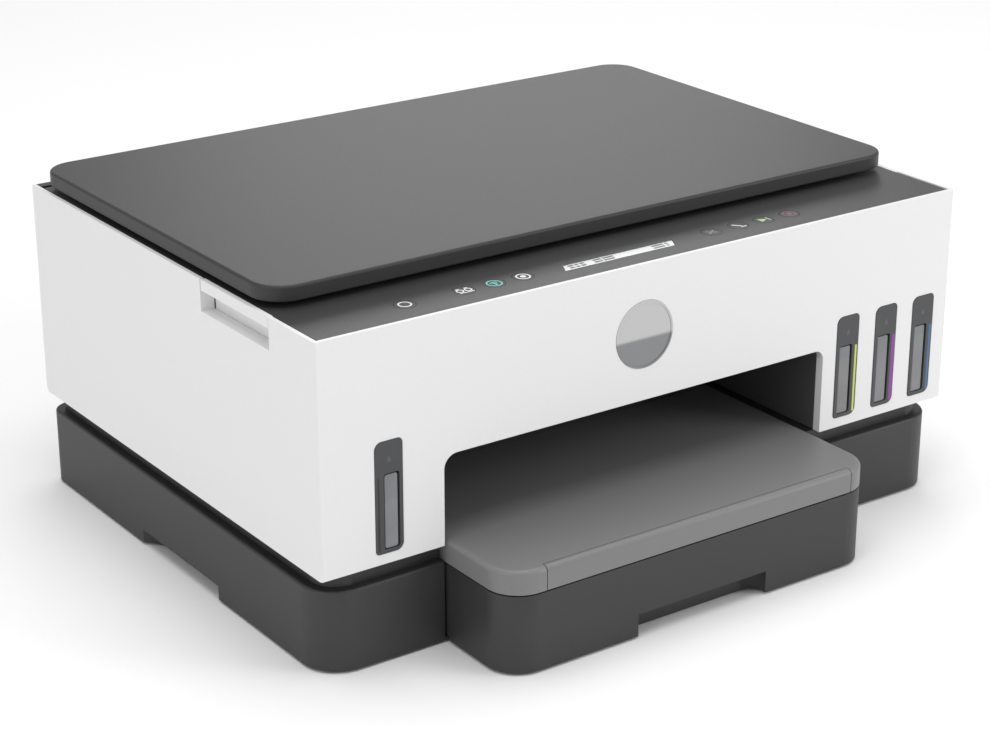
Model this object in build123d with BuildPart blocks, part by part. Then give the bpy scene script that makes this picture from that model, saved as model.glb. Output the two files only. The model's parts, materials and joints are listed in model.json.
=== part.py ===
"""Inkjet printer with a lift-up flatbed scanner, four refillable ink tanks and a front paper drawer.

Frame: millimetres, +Z up, the front faces -Y, +X is to the right seen from the front.
The origin is the middle of the footprint, on the surface that the rubber feet stand on.
Each sub-part is one solid, or one group of alike solids, and is written to parts/NAME.step.
"""
import os
from math import cos, pi, sin

from build123d import *

# ---------------------------------------------------------------- overall size
WIDTH = 449.0
BODY_DEPTH = 328.0
TRAY_REACH = 57.0            # how far the paper tray stands out of the front
HALF = WIDTH / 2
REAR = (BODY_DEPTH + TRAY_REACH) / 2
FRONT = REAR - BODY_DEPTH
TRAY_FRONT = FRONT - TRAY_REACH
FOOT_HEIGHT = 1.5
SHELL_BOTTOM = 59.0
SHELL_TOP = 193.0
LID_TOP = 205.0
WALL = 2.5                   # moulded wall thickness

# ---------------------------------------------------------------- base housing
BASE_INSET = 0.5
BASE_FRONT_RADIUS = 22.0
BASE_REAR_RADIUS = 12.0
SHOULDER_Z = 49.0            # ledge below the recessed neck
SHOULDER_ROUND = 1.5
NECK_TOP = 66.0
NECK_INSET = 6.0
PLATE_Z = 58.5               # top of the plate that carries the mechanism
PLATE_THICKNESS = 2.5
PLATE_FRONT_EDGE = 0.0       # where the plate starts behind the output tray
GRIP_NOTCH_FRONT = -20.5     # hand notch in each lower side edge
GRIP_NOTCH_REAR = 72.0
GRIP_NOTCH_HEIGHT = 8.5

# ---------------------------------------------------------------- outer shell
OPENING_LEFT = -146.7
OPENING_RIGHT = 124.0
OPENING_TOP = 112.0
OPENING_LEFT_RADIUS = 8.5
OPENING_RIGHT_RADIUS = 6.0
RETURN_DEPTH = 5.5           # white return wall round the opening
LINER_REAR = 20.0            # rear end of the dark tunnel behind it
BADGE_X = -12.0
BADGE_Z = 151.5
BADGE_RADIUS = 20.0
GRIP_FRONT = -89.5           # finger recess in each upper side edge
GRIP_REAR = -16.5
GRIP_FLOOR = 174.5
GRIP_DEPTH = 8.5

# ---------------------------------------------------------------- ink system
TANK_CENTRES = {"black": -181.7, "yellow": 143.1, "magenta": 174.0, "cyan": 204.5}
TANK_SIDES = {"black": (-209, -158), "yellow": (130, 157), "magenta": (160, 187), "cyan": (190, 213)}
WINDOW_SHIFT = {"black": 1.5, "yellow": -1.2, "magenta": -1.2, "cyan": -1.2}
BEZEL_WIDTH = 17.5
BEZEL_LOW = 65.0
BEZEL_HIGH = 129.6
BEZEL_RADII = (4.5, 3.0, 4.5, 2.5)      # top left, top right, bottom right, bottom left
BEZEL_STAND = 0.4            # how far the bezels and windows stand out
WINDOW_WIDTH = 9.8
WINDOW_LOW = 67.4
WINDOW_HIGH = 111.0
WINDOW_CORNER = 1.2
WINDOW_GAPS = {"black": (0.9, 0.9), "yellow": (0.3, 1.0), "magenta": (0.3, 1.0), "cyan": (0.3, 1.0)}
WINDOW_TOP_GAP = 1.0
TANK_WALL = 2.0
TANK_FRONT = -124.0
TANK_REAR = 12.0
TANK_TOP = 120.0
CAP_HINGE_Y = -45.0
CAP_HINGE_Z = 126.0
FILL_Y = -60.0
FILL_BORE = 4.0
OUTLET_Y = 4.0
TUBE_RADIUS = 1.5
TUBE_Z = 146.0
LOOP_Z = 131.6
LOOP_X = 200.0
TUBE_LANES = {"black": (50, 50), "yellow": (21, 44), "magenta": (25, 40), "cyan": (29, 36)}

# ---------------------------------------------------------------- rear
DOOR_HALF = 130.0
DOOR_LOW = 76.0
DOOR_HIGH = 166.0
DOOR_HINGE_Y = 190.9
DOOR_HINGE_Z = 79.0
PANEL_IN = 189.5
PANEL_OUT = REAR - 0.2
INLET = (-199.0, -175.0, 74.0, 91.0)     # x0, x1, z0, z1
USB = (176.0, 189.0, 92.0, 104.0)

# ---------------------------------------------------------------- scanner unit
SCANNER_HINGE_Y = 188.0
SCANNER_HINGE_Z = 190.0
SCANNER_HINGE_X = 150.0
DECK_TOP = 192.6
DECK_THICKNESS = 2.6
DECK_UNDER = DECK_TOP - DECK_THICKNESS
DECK_HALF = 221.0
DECK_FRONT = -132.0
DECK_REAR = 183.5
PAN_BOTTOM = 158.0
GLASS = (-154.0, 148.0, -54.0, 158.0)
PANEL_Y = -113.0             # the row of keys
KEYS = {"power": -155.6, "scan": -117.9, "wifi": -98.2, "info": -79.2,
        "cancel": 53.2, "colour": 73.3, "mono": 92.1, "resume": 112.2}
KEY_RADIUS = 6.0
KEY_GAP = 0.3
KEY_UNDER = DECK_UNDER - 0.3
DISPLAY = ((-55, -119), (22, -119), (26, -111), (-51, -111))

# ---------------------------------------------------------------- lid
LID_BOTTOM = 196.0
LID_HALF = 221.0
LID_FRONT = -84.5
LID_REAR = 188.5
LID_RADIUS = 19.0
LID_HINGE_Y = 184.0
LID_HINGE_Z = 199.5
LID_HINGE_X = 170.0

# ---------------------------------------------------------------- paper trays
TRAY_LEFT = -145.0
TRAY_RIGHT = 115.5
TRAY_REAR = 125.0
TRAY_RADIUS = 20.0
TRAY_TOP = 47.2
TRAY_FLOOR = 4.0
SEAM = 0.8                   # open line between the paper tray and its cover
OUTPUT_TOP = 61.7
OUTPUT_REAR = -6.0
OUTPUT_HINGE_Y = -9.0
OUTPUT_HINGE_Z = 51.5
LIP_LEFT = -119.7            # the part of the front edge that pulls out
LIP_RIGHT = 97.0
LIP_DEPTH = 4.0
LIP_GAP = 0.5
TRAY_EDGE = 3.0              # rounding along the top edge of the output tray
APRON = 3.0                  # thickness of the output tray's rim
GUIDE_FLOOR = TRAY_FLOOR + 2.3

# ---------------------------------------------------------------- print mechanism
ROD_Y = 78.0
ROD_Z = 100.0
ROD_RADIUS = 4.0
CARRIAGE_X = 165.0
BELT_Y = 96.0
BELT_LOW = 120.0
BELT_HIGH = 126.0
PULLEY_X = 198.0
PULLEY_RADIUS = 6.0
FEED_Y = 70.0
OUT_Y = 8.0
ROLLER_Z = 76.0
GEAR_MODULE = 1.0
GEAR_TEETH = 24
PINION_TEETH = 12
GEAR_CENTRES = 18.4
MOTOR_Y = FEED_Y + GEAR_CENTRES
GEAR_LEFT = -210.0
GEAR_RIGHT = -205.0
PICKUP_Y = 98.0
PICKUP_Z = 54.0
TUBE_END_X = CARRIAGE_X - 8

SHAFT_CLEARANCE = 0.05
FRONT_PLANE = Plane(origin=(0, FRONT, 0), x_dir=(1, 0, 0), z_dir=(0, -1, 0))

os.makedirs("parts", exist_ok=True)


# ---------------------------------------------------------------- shape helpers
def block(x0, x1, y0, y1, z0, z1, mode=Mode.ADD):
    """Add or cut an upright block between two opposite corners."""
    with Locations(((x0 + x1) / 2, (y0 + y1) / 2, (z0 + z1) / 2)):
        Box(x1 - x0, y1 - y0, z1 - z0, mode=mode)


def rod_x(x0, x1, y, z, radius, mode=Mode.ADD):
    """Add or cut a round bar along X."""
    with Locations(Location(((x0 + x1) / 2, y, z), (0, 90, 0))):
        Cylinder(radius, x1 - x0, mode=mode)


def rod_y(y0, y1, x, z, radius, mode=Mode.ADD):
    """Add or cut a round bar along Y."""
    with Locations(Location((x, (y0 + y1) / 2, z), (90, 0, 0))):
        Cylinder(radius, y1 - y0, mode=mode)


def rod_z(z0, z1, x, y, radius, mode=Mode.ADD):
    """Add or cut a round bar along Z."""
    with Locations((x, y, (z0 + z1) / 2)):
        Cylinder(radius, z1 - z0, mode=mode)


def finish(part, name):
    """Name a finished sub-part and write it."""
    part.label = name
    export_step(part, f"parts/{name}.step")


def base_plan(inset):
    """Base outline with large front corners and smaller rear corners."""
    x = HALF - BASE_INSET - inset
    y0 = FRONT + BASE_INSET + inset
    y1 = REAR - BASE_INSET - inset
    rf = max(BASE_FRONT_RADIUS - inset, 1)
    rr = max(BASE_REAR_RADIUS - inset, 1)
    with BuildLine() as outline:
        Line((-x + rf, y0), (x - rf, y0))
        RadiusArc((x - rf, y0), (x, y0 + rf), -rf)
        Line((x, y0 + rf), (x, y1 - rr))
        RadiusArc((x, y1 - rr), (x - rr, y1), -rr)
        Line((x - rr, y1), (-x + rr, y1))
        RadiusArc((-x + rr, y1), (-x, y1 - rr), -rr)
        Line((-x, y1 - rr), (-x, y0 + rf))
        RadiusArc((-x, y0 + rf), (-x + rf, y0), -rf)
    make_face(outline.edges())


def tray_plan(inset, rear):
    """Tray outline with rounded front corners, moved in by inset."""
    x0 = TRAY_LEFT + inset
    x1 = TRAY_RIGHT - inset
    y0 = TRAY_FRONT + inset
    r = max(TRAY_RADIUS - inset, 1)
    with BuildLine() as outline:
        Line((x0 + r, y0), (x1 - r, y0))
        RadiusArc((x1 - r, y0), (x1, y0 + r), -r)
        Line((x1, y0 + r), (x1, rear))
        Line((x1, rear), (x0, rear))
        Line((x0, rear), (x0, y0 + r))
        RadiusArc((x0, y0 + r), (x0 + r, y0), -r)
    make_face(outline.edges())


def gear_profile(teeth, turn):
    """Straight-flanked gear outline with slim teeth, so that it runs with play."""
    pitch_radius = GEAR_MODULE * teeth / 2
    outer = pitch_radius + 0.7 * GEAR_MODULE
    root = pitch_radius - 1.15 * GEAR_MODULE
    step = 2 * pi / teeth
    points = []
    for tooth in range(teeth):
        middle = turn + tooth * step
        for radius, share in ((root, -0.26), (outer, -0.09), (outer, 0.09), (root, 0.26)):
            angle = middle + share * step
            points.append((radius * cos(angle), radius * sin(angle)))
    with BuildLine() as outline:
        Polyline(*points, close=True)
    make_face(outline.edges())


# ================================================================ root body
# ---- base housing: a tub with a recessed neck, a front gap for the tray and a plate on top
neck_in = NECK_INSET + WALL
with BuildPart() as base_housing:
    with BuildSketch(Plane.XY.offset(FOOT_HEIGHT)):
        base_plan(0)
    extrude(amount=SHOULDER_Z - FOOT_HEIGHT)
    fillet(base_housing.edges().group_by(Axis.Z)[-1], SHOULDER_ROUND)
    with BuildSketch(Plane.XY.offset(SHOULDER_Z - 1)):
        base_plan(NECK_INSET)
    extrude(amount=NECK_TOP - SHOULDER_Z + 1)
    with BuildSketch(Plane.XY.offset(FOOT_HEIGHT + 2)):
        base_plan(WALL)
    extrude(amount=SHOULDER_Z - FOOT_HEIGHT - 2 - WALL, mode=Mode.SUBTRACT)
    with BuildSketch(Plane.XY.offset(SHOULDER_Z - WALL - 1)):
        base_plan(neck_in)
    extrude(amount=NECK_TOP, mode=Mode.SUBTRACT)
    # plate that carries the mechanism, cut away over the trays and over the paper turn
    with BuildSketch(Plane.XY.offset(PLATE_Z - PLATE_THICKNESS)):
        base_plan(neck_in - 0.5)
    extrude(amount=PLATE_THICKNESS)
    block(-147, 117, FRONT - 1, PLATE_FRONT_EDGE, PLATE_Z - 5, NECK_TOP + 1, mode=Mode.SUBTRACT)
    block(-125, 95, 80, 182, PLATE_Z - 5, PLATE_Z + 1, mode=Mode.SUBTRACT)
    # front gap for the tray and its two side guides
    block(-146.7, 117, FRONT - 1, FRONT + 20, FOOT_HEIGHT + 2, NECK_TOP + 1, mode=Mode.SUBTRACT)
    block(OPENING_LEFT - 2.8, OPENING_RIGHT + 2.8, FRONT - 1, FRONT + 20, SHELL_BOTTOM - 0.8,
          NECK_TOP + 1, mode=Mode.SUBTRACT)
    for guide_x in (-149, 117.2):
        block(guide_x, guide_x + 2, FRONT + 2, 150, FOOT_HEIGHT + 1, 46)
    # hangers for the pick-up roller shaft
    for hanger_x in (-128, 95.2):
        block(hanger_x, hanger_x + 2.8, PICKUP_Y - 6, PICKUP_Y + 6, PICKUP_Z - 6, PLATE_Z)
    rod_x(-130, 100, PICKUP_Y, PICKUP_Z, 2 + SHAFT_CLEARANCE, mode=Mode.SUBTRACT)
    # hand notches in the lower side edges, each ending in a curved wall
    for side in (-1, 1):
        pad = sorted((side * (HALF - 2), side * (HALF - 15)))
        block(pad[0], pad[1], -27, 82, FOOT_HEIGHT, 12)
        with BuildSketch(Plane.XY):
            with BuildLine():
                edge = side * (HALF + 1)
                deep = side * (HALF - 12.5)
                Line((edge, GRIP_NOTCH_FRONT), (deep, GRIP_NOTCH_FRONT))
                Line((deep, GRIP_NOTCH_FRONT), (deep, GRIP_NOTCH_REAR - 30))
                TangentArc((deep, GRIP_NOTCH_REAR - 30), (edge, GRIP_NOTCH_REAR), tangent=(0, 1))
                Line((edge, GRIP_NOTCH_REAR), (edge, GRIP_NOTCH_FRONT))
            make_face()
        extrude(amount=GRIP_NOTCH_HEIGHT + FOOT_HEIGHT, mode=Mode.SUBTRACT)
    # bosses with shallow seats for the four feet
    with Locations(*[(x, y, 4) for x in (-195, 195) for y in (-108, 165)]):
        Cylinder(11, 5)
    with Locations(*[(x, y, 2) for x in (-195, 195) for y in (-108, 165)]):
        Cylinder(8.2, 3, mode=Mode.SUBTRACT)
finish(base_housing.part, "base_housing")

# ---- rubber feet
with BuildPart() as rubber_feet:
    with Locations(*[(x, y, 1.75) for x in (-195, 195) for y in (-108, 165)]):
        Cylinder(8, 3.5)
    fillet(rubber_feet.edges().group_by(Axis.Z)[0], 0.8)
finish(rubber_feet.part, "rubber_feet")


# ---- outer shell: front wall and two side walls in one piece
def opening_outline(grow):
    """Front opening seen from the front, open at its lower edge."""
    left = OPENING_LEFT - grow
    right = OPENING_RIGHT + grow
    top = OPENING_TOP + grow
    big = OPENING_LEFT_RADIUS + grow
    small = OPENING_RIGHT_RADIUS + grow
    low = SHELL_BOTTOM - 1
    with BuildLine() as outline:
        Line((left, low), (left, top - big))
        RadiusArc((left, top - big), (left + big, top), big)
        Line((left + big, top), (right - small, top))
        RadiusArc((right - small, top), (right, top - small), small)
        Line((right, top - small), (right, low))
        Line((right, low), (left, low))
    make_face(outline.edges())


def slot_outline(left, right, low, high, radii):
    """Upright rectangle seen from the front, each corner with its own radius."""
    top_left, top_right, low_right, low_left = radii
    with BuildLine() as outline:
        Line((left, low + low_left), (left, high - top_left))
        RadiusArc((left, high - top_left), (left + top_left, high), top_left)
        Line((left + top_left, high), (right - top_right, high))
        RadiusArc((right - top_right, high), (right, high - top_right), top_right)
        Line((right, high - top_right), (right, low + low_right))
        RadiusArc((right, low + low_right), (right - low_right, low), low_right)
        Line((right - low_right, low), (left + low_left, low))
        RadiusArc((left + low_left, low), (left, low + low_left), low_left)
    make_face(outline.edges())


def bezel_outline(centre, grow):
    """Outline of one tank bezel, made larger all round by grow."""
    half = BEZEL_WIDTH / 2 + grow
    slot_outline(centre - half, centre + half, BEZEL_LOW - grow, BEZEL_HIGH + grow,
                 [radius + grow for radius in BEZEL_RADII])


with BuildPart() as outer_shell:
    block(-HALF, HALF, FRONT, REAR, SHELL_BOTTOM, SHELL_TOP)
    fillet(outer_shell.edges().filter_by(Axis.Z).group_by(Axis.Y)[0], 1.5)
    rear_low = outer_shell.edges().filter_by(Axis.X).group_by(Axis.Y)[-1].sort_by(Axis.Z)[0]
    fillet(rear_low, 4)
    block(-HALF + WALL, HALF - WALL, FRONT + WALL, REAR + 1, SHELL_BOTTOM - 1, SHELL_TOP + 1,
          mode=Mode.SUBTRACT)
    # return wall round the opening, then the opening itself
    with BuildSketch(FRONT_PLANE.offset(-RETURN_DEPTH)):
        opening_outline(2.2)
    extrude(amount=RETURN_DEPTH - 1)
    with BuildSketch(FRONT_PLANE.offset(-RETURN_DEPTH - 1)):
        opening_outline(0)
    extrude(amount=RETURN_DEPTH + 3, mode=Mode.SUBTRACT)
    block(OPENING_LEFT - 3, OPENING_RIGHT + 3, FRONT - 1, FRONT + 12, SHELL_BOTTOM - 2, SHELL_BOTTOM,
          mode=Mode.SUBTRACT)
    # slots for the four tank bezels and the seat of the badge
    with BuildSketch(FRONT_PLANE.offset(-WALL - 1)):
        for centre in TANK_CENTRES.values():
            bezel_outline(centre, 0.15)
    extrude(amount=WALL + 2, mode=Mode.SUBTRACT)
    rod_y(FRONT - 1, FRONT + 1.2, BADGE_X, BADGE_Z, BADGE_RADIUS + 0.15, mode=Mode.SUBTRACT)
    # finger recess in each upper side edge: a shelf and two end walls
    for side in (-1, 1):
        inner = sorted((side * (HALF - 2), side * (HALF - GRIP_DEPTH)))
        block(inner[0], inner[1], GRIP_FRONT - 2, GRIP_REAR + 2, GRIP_FLOOR - 2, DECK_UNDER - 1)
        cut = sorted((side * (HALF + 1), side * (HALF - GRIP_DEPTH - 1)))
        block(cut[0], cut[1], GRIP_FRONT, GRIP_REAR, GRIP_FLOOR, SHELL_TOP + 1, mode=Mode.SUBTRACT)
finish(outer_shell.part, "outer_shell")

# ---- exit liner: dark tunnel behind the opening, with the mechanism beyond it
with BuildPart() as exit_liner:
    with BuildSketch(FRONT_PLANE.offset(-RETURN_DEPTH)):
        opening_outline(2.4)
    extrude(amount=FRONT + RETURN_DEPTH - LINER_REAR)
    with BuildSketch(FRONT_PLANE.offset(-RETURN_DEPTH + 1)):
        opening_outline(0.2)
    extrude(amount=FRONT + RETURN_DEPTH - LINER_REAR - 3, mode=Mode.SUBTRACT)
    block(OPENING_LEFT - 4, OPENING_RIGHT + 4, FRONT, LINER_REAR + 1, SHELL_BOTTOM - 2, SHELL_BOTTOM,
          mode=Mode.SUBTRACT)
finish(exit_liner.part, "exit_liner")

# ---- badge: a plain round disc with a raised ring
with BuildPart() as badge:
    rod_y(FRONT - 0.3, FRONT + 1.2, BADGE_X, BADGE_Z, BADGE_RADIUS)
    rod_y(FRONT - 1, FRONT + 0.1, BADGE_X, BADGE_Z, BADGE_RADIUS - 1.2, mode=Mode.SUBTRACT)
finish(badge.part, "badge")

# ---- tank bezels: four frames with a flange behind the front wall
with BuildPart() as tank_bezels:
    with BuildSketch(FRONT_PLANE.offset(-WALL)):
        for centre in TANK_CENTRES.values():
            bezel_outline(centre, 0)
    extrude(amount=WALL + BEZEL_STAND)
    chamfer(tank_bezels.edges().group_by(Axis.Y)[0], 0.3)
    with BuildSketch(FRONT_PLANE.offset(-WALL - 2)):
        for centre in TANK_CENTRES.values():
            bezel_outline(centre, 1.5)
    extrude(amount=2)
    with BuildSketch(FRONT_PLANE.offset(-WALL - 3)):
        for colour, centre in TANK_CENTRES.items():
            window_left = centre + WINDOW_SHIFT[colour] - WINDOW_WIDTH / 2
            slot_outline(window_left, window_left + WINDOW_WIDTH, WINDOW_LOW, WINDOW_HIGH,
                         [WINDOW_CORNER] * 4)
    extrude(amount=WALL + 5, mode=Mode.SUBTRACT)
finish(tank_bezels.part, "tank_bezels")

# ---- ink tanks: hollow bottles with a front window boss, a filler neck and two cap lugs
for colour, (tank_left, tank_right) in TANK_SIDES.items():
    middle = (tank_left + tank_right) / 2
    window_x = TANK_CENTRES[colour] + WINDOW_SHIFT[colour]
    gap_left, gap_right = WINDOW_GAPS[colour]
    with BuildPart() as ink_tank:
        block(tank_left, tank_right, TANK_FRONT, TANK_REAR, PLATE_Z, TANK_TOP)
        fillet(ink_tank.edges().filter_by(Axis.Z), 8)
        with BuildSketch(Plane(origin=(0, TANK_FRONT + 1, 0), x_dir=(1, 0, 0), z_dir=(0, -1, 0))):
            slot_outline(window_x - WINDOW_WIDTH / 2 + gap_left, window_x + WINDOW_WIDTH / 2 - gap_right,
                         WINDOW_LOW + 0.3, WINDOW_HIGH - WINDOW_TOP_GAP, [WINDOW_CORNER] * 4)
        extrude(amount=TANK_FRONT + 1 - FRONT - BEZEL_STAND)
        rod_z(TANK_TOP - 1, TANK_TOP + 4, middle, FILL_Y, 7)
        rod_z(TANK_TOP - 1, TANK_TOP + 6, middle, OUTLET_Y, 2.5)
        for lug_x in (middle - 9.5, middle + 6.5):
            block(lug_x, lug_x + 3, CAP_HINGE_Y - 2.6, CAP_HINGE_Y + 2.6, TANK_TOP - 1, CAP_HINGE_Z)
            rod_x(lug_x, lug_x + 3, CAP_HINGE_Y, CAP_HINGE_Z, 2.6)
        rod_x(middle - 10, middle + 10, CAP_HINGE_Y, CAP_HINGE_Z, 1.2 + SHAFT_CLEARANCE,
              mode=Mode.SUBTRACT)
        block(tank_left + TANK_WALL, tank_right - TANK_WALL, TANK_FRONT + TANK_WALL, TANK_REAR - TANK_WALL,
              PLATE_Z + TANK_WALL, TANK_TOP - TANK_WALL, mode=Mode.SUBTRACT)
        rod_z(TANK_TOP - 5, TANK_TOP + 5, middle, FILL_Y, FILL_BORE, mode=Mode.SUBTRACT)
    finish(ink_tank.part, f"ink_tank_{colour}")

    # hinged cap with a short stopper; its pins turn in the tank lugs
    with BuildPart() as ink_cap:
        block(middle - 10, middle + 10, CAP_HINGE_Y - 27, CAP_HINGE_Y - 3.2, TANK_TOP + 4.4, TANK_TOP + 8.8)
        fillet(ink_cap.edges().filter_by(Axis.Z).group_by(Axis.Y)[0], 5)
        block(middle - 6, middle + 6, CAP_HINGE_Y - 4, CAP_HINGE_Y, TANK_TOP + 4.4, TANK_TOP + 8.4)
        rod_x(middle - 6, middle + 6, CAP_HINGE_Y, CAP_HINGE_Z, 2.5)
        rod_x(middle - 9.5, middle + 9.5, CAP_HINGE_Y, CAP_HINGE_Z, 1.2)
        rod_z(TANK_TOP + 2.4, TANK_TOP + 5, middle, FILL_Y, 3.4)
    finish(ink_cap.part, f"ink_cap_{colour}")

# ---- rear cover: lower panel with door gap, ports and vents, and a top bar that holds the hinge pins
with BuildPart() as rear_cover:
    block(-HALF + WALL + 0.2, HALF - WALL - 0.2, PANEL_IN, PANEL_OUT, SHELL_BOTTOM + 0.5, SHELL_TOP)
    block(-HALF + WALL + 0.2, HALF - WALL - 0.2, 186, PANEL_OUT, 187, SHELL_TOP)
    block(-DOOR_HALF - 8, DOOR_HALF + 8, PANEL_IN - 2.5, PANEL_IN, DOOR_LOW - 6, DOOR_LOW + 10)
    block(-DOOR_HALF, DOOR_HALF, 180, REAR + 1, DOOR_LOW, DOOR_HIGH, mode=Mode.SUBTRACT)
    block(-DOOR_HALF, DOOR_HALF, 180, PANEL_IN, DOOR_LOW - 7, DOOR_LOW + 11, mode=Mode.SUBTRACT)
    rod_x(-DOOR_HALF - 5, DOOR_HALF + 5, DOOR_HINGE_Y, DOOR_HINGE_Z, 1 + SHAFT_CLEARANCE,
          mode=Mode.SUBTRACT)
    block(INLET[0] - 0.2, INLET[1] + 0.2, 180, REAR + 1, INLET[2] - 0.2, INLET[3] + 0.2,
          mode=Mode.SUBTRACT)
    block(USB[0] - 0.2, USB[1] + 0.2, 180, REAR + 1, USB[2] - 0.2, USB[3] + 0.2, mode=Mode.SUBTRACT)
    # vents beside the door
    with BuildSketch(Plane(origin=(0, REAR + 1, 0), x_dir=(-1, 0, 0), z_dir=(0, 1, 0))):
        with Locations((-180, 138), (180, 138)):
            with GridLocations(0, 7, 1, 7):
                SlotOverall(46, 3)
    extrude(amount=-6, mode=Mode.SUBTRACT)
    # countersunk seats for four screws
    with Locations(*[Location((x, REAR - 1.2, z), (-90, 0, 0)) for x in (-210, 210) for z in (68, 180)]):
        Cylinder(1.7, 12, mode=Mode.SUBTRACT)
        Cylinder(3.4, 2.4, mode=Mode.SUBTRACT)
    # hinge slots, bridged by the two scanner hinge pins
    for hinge_x in (-SCANNER_HINGE_X, SCANNER_HINGE_X):
        block(hinge_x - 10.5, hinge_x + 10.5, 185, 191.5, 186, SHELL_TOP + 1, mode=Mode.SUBTRACT)
        rod_x(hinge_x - 11, hinge_x + 11, SCANNER_HINGE_Y, SCANNER_HINGE_Z, 1.5)
finish(rear_cover.part, "rear_cover")

# ---- rear access door with end pins at its lower edge and a finger scoop at its upper edge
with BuildPart() as rear_access_door:
    block(-DOOR_HALF + 0.5, DOOR_HALF - 0.5, PANEL_IN + 0.1, PANEL_OUT - 0.1, DOOR_LOW + 0.6,
          DOOR_HIGH - 0.5)
    rod_x(-DOOR_HALF - 4, DOOR_HALF + 4, DOOR_HINGE_Y, DOOR_HINGE_Z, 1)
    for rib_x in range(-110, 111, 44):
        block(rib_x - 1, rib_x + 1, PANEL_IN - 7, PANEL_IN + 1, DOOR_LOW + 16, DOOR_HIGH - 8)
    with Locations((0, PANEL_OUT + 3.4, DOOR_HIGH - 9)):
        Sphere(5, mode=Mode.SUBTRACT)
    block(-22, 22, PANEL_OUT - 1.2, REAR + 1, DOOR_HIGH - 13, DOOR_HIGH - 5, mode=Mode.SUBTRACT)
finish(rear_access_door.part, "rear_access_door")

# ---- power inlet: a two-pin socket
with BuildPart() as power_inlet:
    block(INLET[0], INLET[1], 170, PANEL_OUT, INLET[2], INLET[3])
    with BuildSketch(Plane(origin=(0, PANEL_OUT, 0), x_dir=(-1, 0, 0), z_dir=(0, 1, 0))):
        with Locations((187, 82.5)):
            SlotOverall(17, 9)
    extrude(amount=-14, mode=Mode.SUBTRACT)
    for pin_x in (-191.2, -182.8):
        rod_y(177, PANEL_OUT - 3, pin_x, 82.5, 1.2)
finish(power_inlet.part, "power_inlet")

# ---- main circuit board, with chips, upright behind the rear cover
with BuildPart() as main_board:
    block(100, 205, 172, 173.6, 62, 150)
    for chip_x, chip_z, size in ((125, 120, 18), (160, 125, 22), (140, 85, 14), (190, 130, 10)):
        block(chip_x - size / 2, chip_x + size / 2, 173.6, 176, chip_z - size / 2, chip_z + size / 2)
    for socket_z in (72, 84):
        block(106, 124, 173.6, 180, socket_z - 4, socket_z + 4)
finish(main_board.part, "main_board")

# ---- USB socket
with BuildPart() as usb_port:
    block(USB[0], USB[1], 173.6, PANEL_OUT, USB[2], USB[3])
    block(USB[0] + 1, USB[1] - 1, 180, REAR + 1, USB[2] + 1, USB[3] - 1, mode=Mode.SUBTRACT)
    block(USB[0] + 3.5, USB[1] - 3.5, 179, PANEL_OUT - 2, USB[2] + 4, USB[3] - 4)
finish(usb_port.part, "usb_port")

# ---- power supply with its capacitors and transformer under a vented case
with BuildPart() as power_supply:
    block(-208, -140, 116, 166, PLATE_Z, 112)
    fillet(power_supply.edges().filter_by(Axis.Z), 3)
    with BuildSketch(Plane.XY.offset(113)):
        with Locations((-174, 141)):
            with GridLocations(8, 0, 7, 1):
                SlotOverall(34, 3, rotation=90)
    extrude(amount=-4, mode=Mode.SUBTRACT)
finish(power_supply.part, "power_supply")

# ---- screws: four at the rear, seated in the rear cover
with BuildPart() as screws:
    with Locations(*[Location((x, REAR - 1.3, z), (-90, 0, 0)) for x in (-210, 210) for z in (68, 180)]):
        Cylinder(3.2, 1.8)
        Box(4.2, 0.9, 4, mode=Mode.SUBTRACT)
        Box(0.9, 4.2, 4, mode=Mode.SUBTRACT)
    with Locations(*[Location((x, REAR - 4.5, z), (-90, 0, 0)) for x in (-210, 210) for z in (68, 180)]):
        Cylinder(1.5, 5)
finish(screws.part, "screws")

# ---- carriage rail: pressed steel back plate, two end plates, guide rod, motor and idler brackets
with BuildPart() as carriage_rail:
    block(-214, 214, 110, 112, PLATE_Z, 140)
    for plate_x in (-214, 212):
        block(plate_x, plate_x + 2, 62, 110, PLATE_Z, 112)
    block(-204.8, -203.2, 60, 110, PLATE_Z, 91)
    for bracket_x in (-212, 184):
        block(bracket_x, bracket_x + 28, 88, 110, 116.3, 117.8)
    block(-100, 100, 108, 115, 130, 140, mode=Mode.SUBTRACT)
    rod_x(-206, -202, FEED_Y, ROLLER_Z, 3.4, mode=Mode.SUBTRACT)
    rod_x(-206, -202, MOTOR_Y, ROLLER_Z, 2, mode=Mode.SUBTRACT)
    rod_x(-215, -211.9, FEED_Y, ROLLER_Z, 3.06, mode=Mode.SUBTRACT)
    rod_z(115, 119, -PULLEY_X, BELT_Y, 3, mode=Mode.SUBTRACT)
    rod_z(117, 127.5, PULLEY_X, BELT_Y, 2)
    rod_x(-213, 213, ROD_Y, ROD_Z, ROD_RADIUS)
finish(carriage_rail.part, "carriage_rail")

# ---- carriage motor and feed motor
with BuildPart() as carriage_motor:
    rod_z(92, 116.2, -PULLEY_X, BELT_Y, 11)
    rod_z(116, 127, -PULLEY_X, BELT_Y, 1.5)
finish(carriage_motor.part, "carriage_motor")

with BuildPart() as feed_motor:
    rod_x(-203.2, -177, MOTOR_Y, ROLLER_Z, 12)
    rod_x(-211.5, -203, MOTOR_Y, ROLLER_Z, 1.2)
finish(feed_motor.part, "feed_motor")

# ---- drive belt round the two pulleys
with BuildPart() as carriage_belt:
    with BuildSketch(Plane.XY.offset(BELT_LOW)):
        with Locations((0, BELT_Y)):
            SlotCenterToCenter(2 * PULLEY_X, 2 * (PULLEY_RADIUS + 1.3))
            SlotCenterToCenter(2 * PULLEY_X, 2 * (PULLEY_RADIUS + 0.3), mode=Mode.SUBTRACT)
    extrude(amount=BELT_HIGH - BELT_LOW)
finish(carriage_belt.part, "carriage_belt")

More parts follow.
